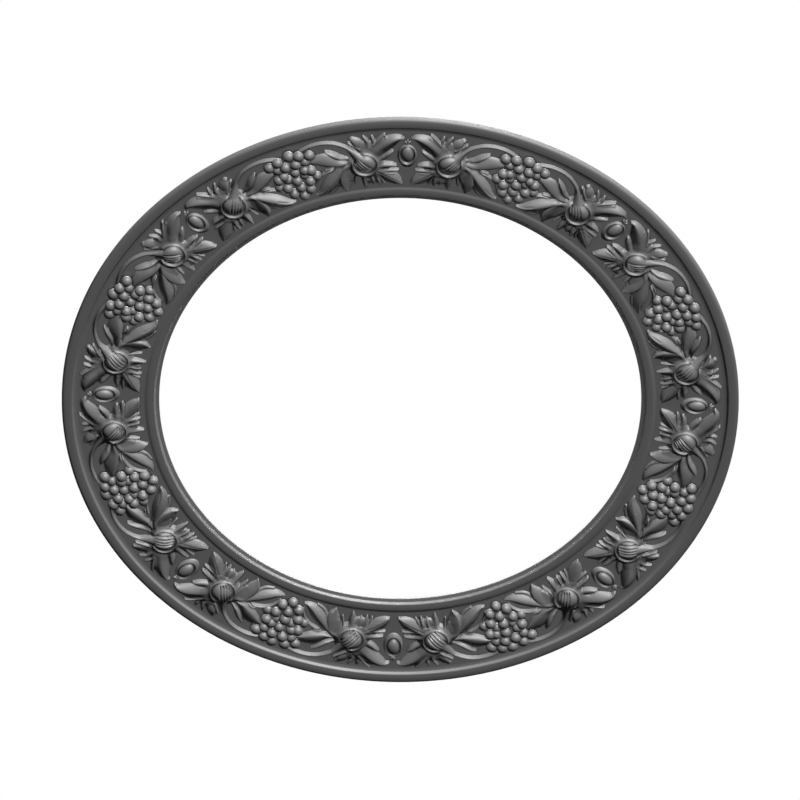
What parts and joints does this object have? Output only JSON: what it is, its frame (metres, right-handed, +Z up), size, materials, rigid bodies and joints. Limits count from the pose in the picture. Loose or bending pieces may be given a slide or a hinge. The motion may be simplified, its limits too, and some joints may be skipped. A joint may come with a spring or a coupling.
{
  "type": "round carved picture frame",
  "caption": "Round wall frame with a flat band between two raised rims, carved with fig leaves, grape bunches and oval cabochons; glass, rebate, turn buttons and a loop hanger behind.",
  "frame": {"origin": "centre of the ring on the wall plane, where the bumpers touch the wall", "axes": "-Y out of the wall through the carved front, +Z up as the frame hangs, +X to the right seen from the front"},
  "size_m": [0.562, 0.0305, 0.562],
  "materials": {
    "graphite_lacquer": "carved wood under a satin graphite grey lacquer",
    "backing_wood": "planed wood, thin stain",
    "fillet_wood": "planed wood, raw",
    "clear_glass": "clear float glass",
    "brass": "stamped, lightly tarnished",
    "zinc_steel": "zinc plated",
    "felt": "pressed felt"
  },
  "bodies": {
    "frame": {"carved_plate": "graphite_lacquer", "backing_ring": "backing_wood", "glass_pane": "clear_glass", "glass_fillet": "fillet_wood", "leaf_spray_right_1": "graphite_lacquer", "leaf_spray_left_1": "graphite_lacquer", "cabochon_1": "graphite_lacquer", "grape_bunch_1": "graphite_lacquer", "leaf_spray_right_2": "graphite_lacquer", "leaf_spray_left_2": "graphite_lacquer", "cabochon_2": "graphite_lacquer", "grape_bunch_2": "graphite_lacquer", "leaf_spray_right_3": "graphite_lacquer", "leaf_spray_left_3": "graphite_lacquer", "cabochon_3": "graphite_lacquer", "grape_bunch_3": "graphite_lacquer", "leaf_spray_right_4": "graphite_lacquer", "leaf_spray_left_4": "graphite_lacquer", "cabochon_4": "graphite_lacquer", "grape_bunch_4": "graphite_lacquer", "leaf_spray_right_5": "graphite_lacquer", "leaf_spray_left_5": "graphite_lacquer", "cabochon_5": "graphite_lacquer", "grape_bunch_5": "graphite_lacquer", "leaf_spray_right_6": "graphite_lacquer", "leaf_spray_left_6": "graphite_lacquer", "cabochon_6": "graphite_lacquer", "grape_bunch_6": "graphite_lacquer", "leaf_spray_right_7": "graphite_lacquer", "leaf_spray_left_7": "graphite_lacquer", "cabochon_7": "graphite_lacquer", "grape_bunch_7": "graphite_lacquer", "leaf_spray_right_8": "graphite_lacquer", "leaf_spray_left_8": "graphite_lacquer", "cabochon_8": "graphite_lacquer", "grape_bunch_8": "graphite_lacquer", "turn_button_screw_1": "zinc_steel", "turn_button_screw_2": "zinc_steel", "turn_button_screw_3": "zinc_steel", "turn_button_screw_4": "zinc_steel", "hanger_strap": "zinc_steel", "hanger_screw_1": "zinc_steel", "hanger_screw_2": "zinc_steel", "wall_bumper_1": "felt", "wall_bumper_2": "felt"},
    "button_1": {"turn_button_1": "brass"},
    "button_2": {"turn_button_2": "brass"},
    "button_3": {"turn_button_3": "brass"},
    "button_4": {"turn_button_4": "brass"},
    "loop": {"hanger_loop": "zinc_steel"}
  },
  "joints": [
    {"name": "turn_button_1_pivot", "type": "hinge", "parent": "frame", "child": "button_1", "pos_m": [0.16157, -0.0052, 0.16157], "axis": [0, 1, 0], "continuous": true},
    {"name": "turn_button_2_pivot", "type": "hinge", "parent": "frame", "child": "button_2", "pos_m": [0.16157, -0.0052, -0.16157], "axis": [0, 1, 0], "continuous": true},
    {"name": "turn_button_3_pivot", "type": "hinge", "parent": "frame", "child": "button_3", "pos_m": [-0.16157, -0.0052, -0.16157], "axis": [0, 1, 0], "continuous": true},
    {"name": "turn_button_4_pivot", "type": "hinge", "parent": "frame", "child": "button_4", "pos_m": [-0.16157, -0.0052, 0.16157], "axis": [0, 1, 0], "continuous": true},
    {"name": "hanger_loop_pivot", "type": "hinge", "parent": "frame", "child": "loop", "pos_m": [0, -0.00345, 0.258], "axis": [1, 0, 0], "range_deg": [0, 180]}
  ]
}
